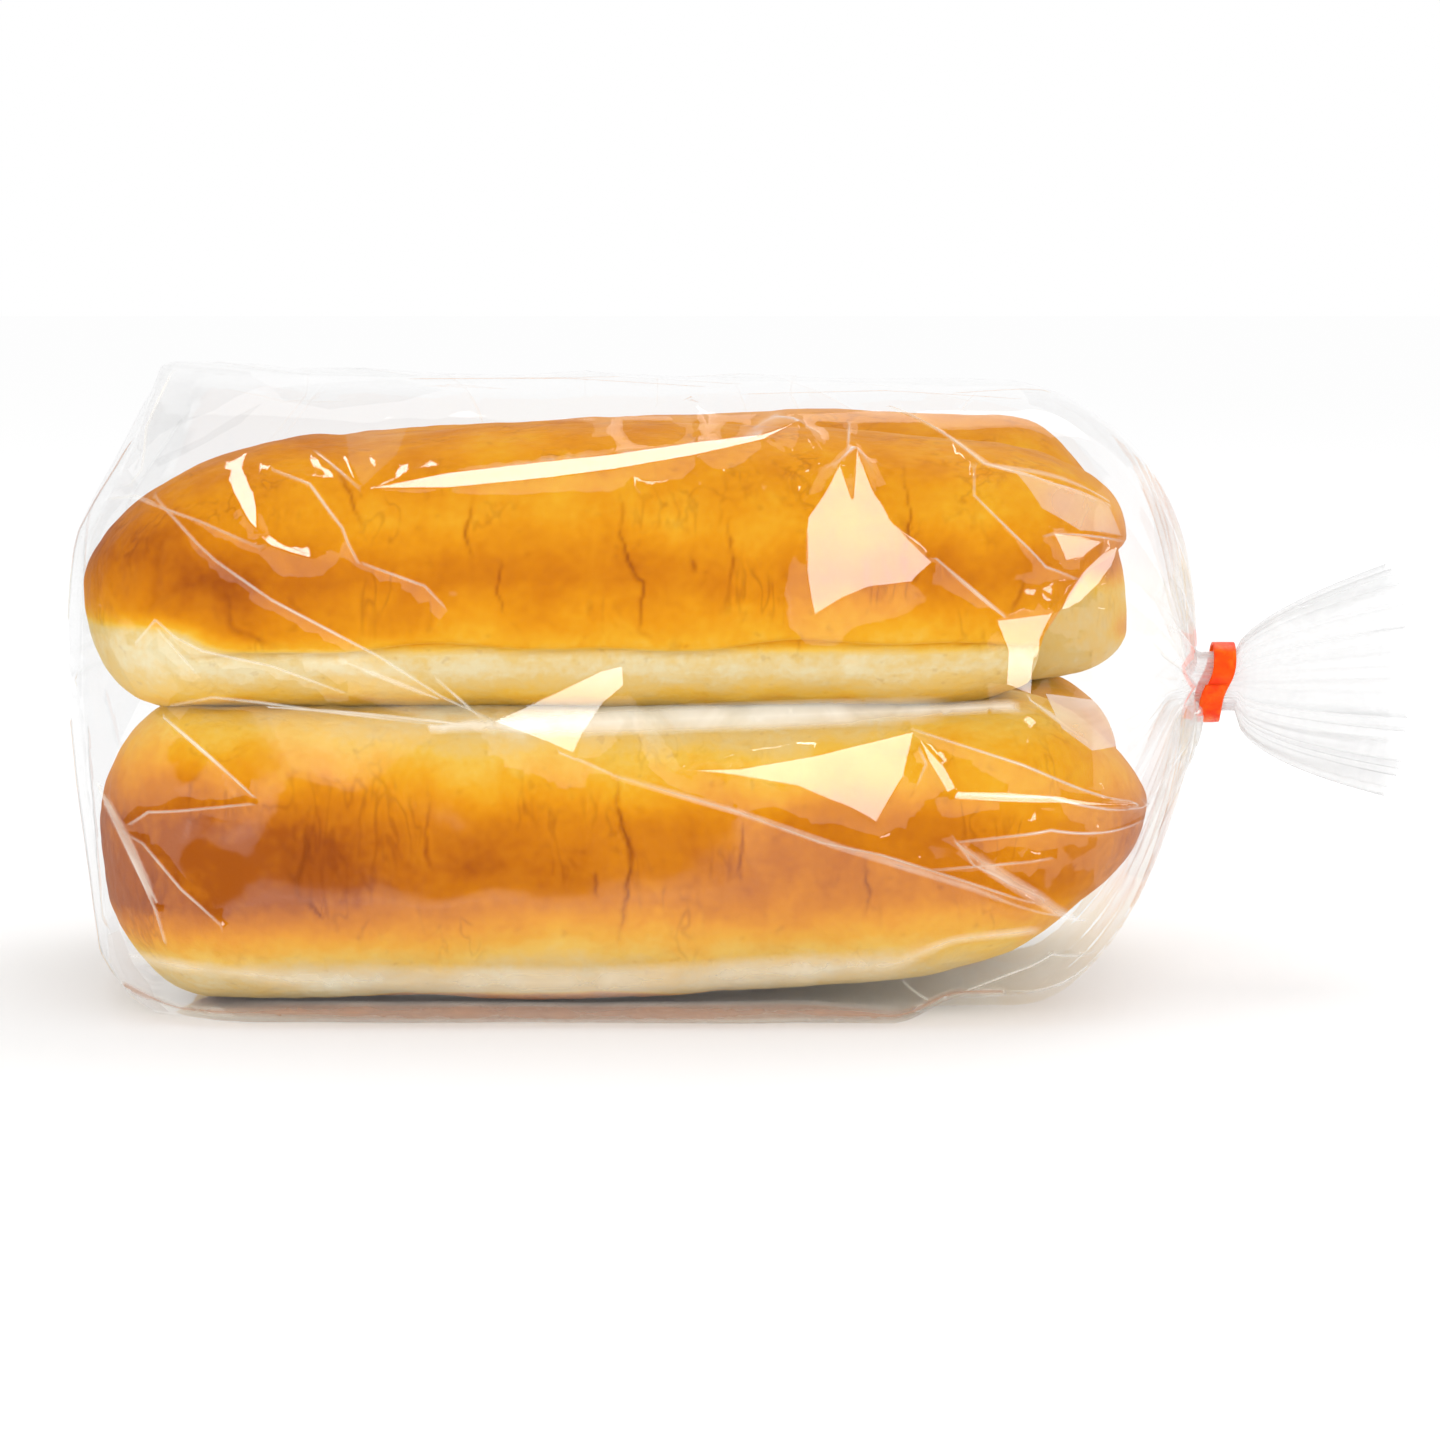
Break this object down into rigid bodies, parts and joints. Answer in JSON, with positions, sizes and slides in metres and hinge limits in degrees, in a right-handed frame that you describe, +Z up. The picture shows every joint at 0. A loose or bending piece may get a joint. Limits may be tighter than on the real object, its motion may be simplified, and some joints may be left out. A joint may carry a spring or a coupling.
{
  "type": "pack of potato buns",
  "caption": "Clear film bag of long soft potato buns in two layers, lying on its base, its end gathered, tied with a narrow tape and fanned into a pleated tail.",
  "frame": {"origin": "on the ground, under the middle of the whole pack's box", "axes": "+X along the pack towards the tied tail, +Y to the back, +Z up; the shown long side faces -Y"},
  "size_m": [0.204, 0.1072, 0.0935],
  "materials": {
    "film": "clear, glossy and creased",
    "bun_crust": "soft golden crust, cream at the sides",
    "tape": "glossy orange-red film tape"
  },
  "bodies": {
    "root": {"bag": "film", "tape": "tape"}
  },
  "joints": []
}
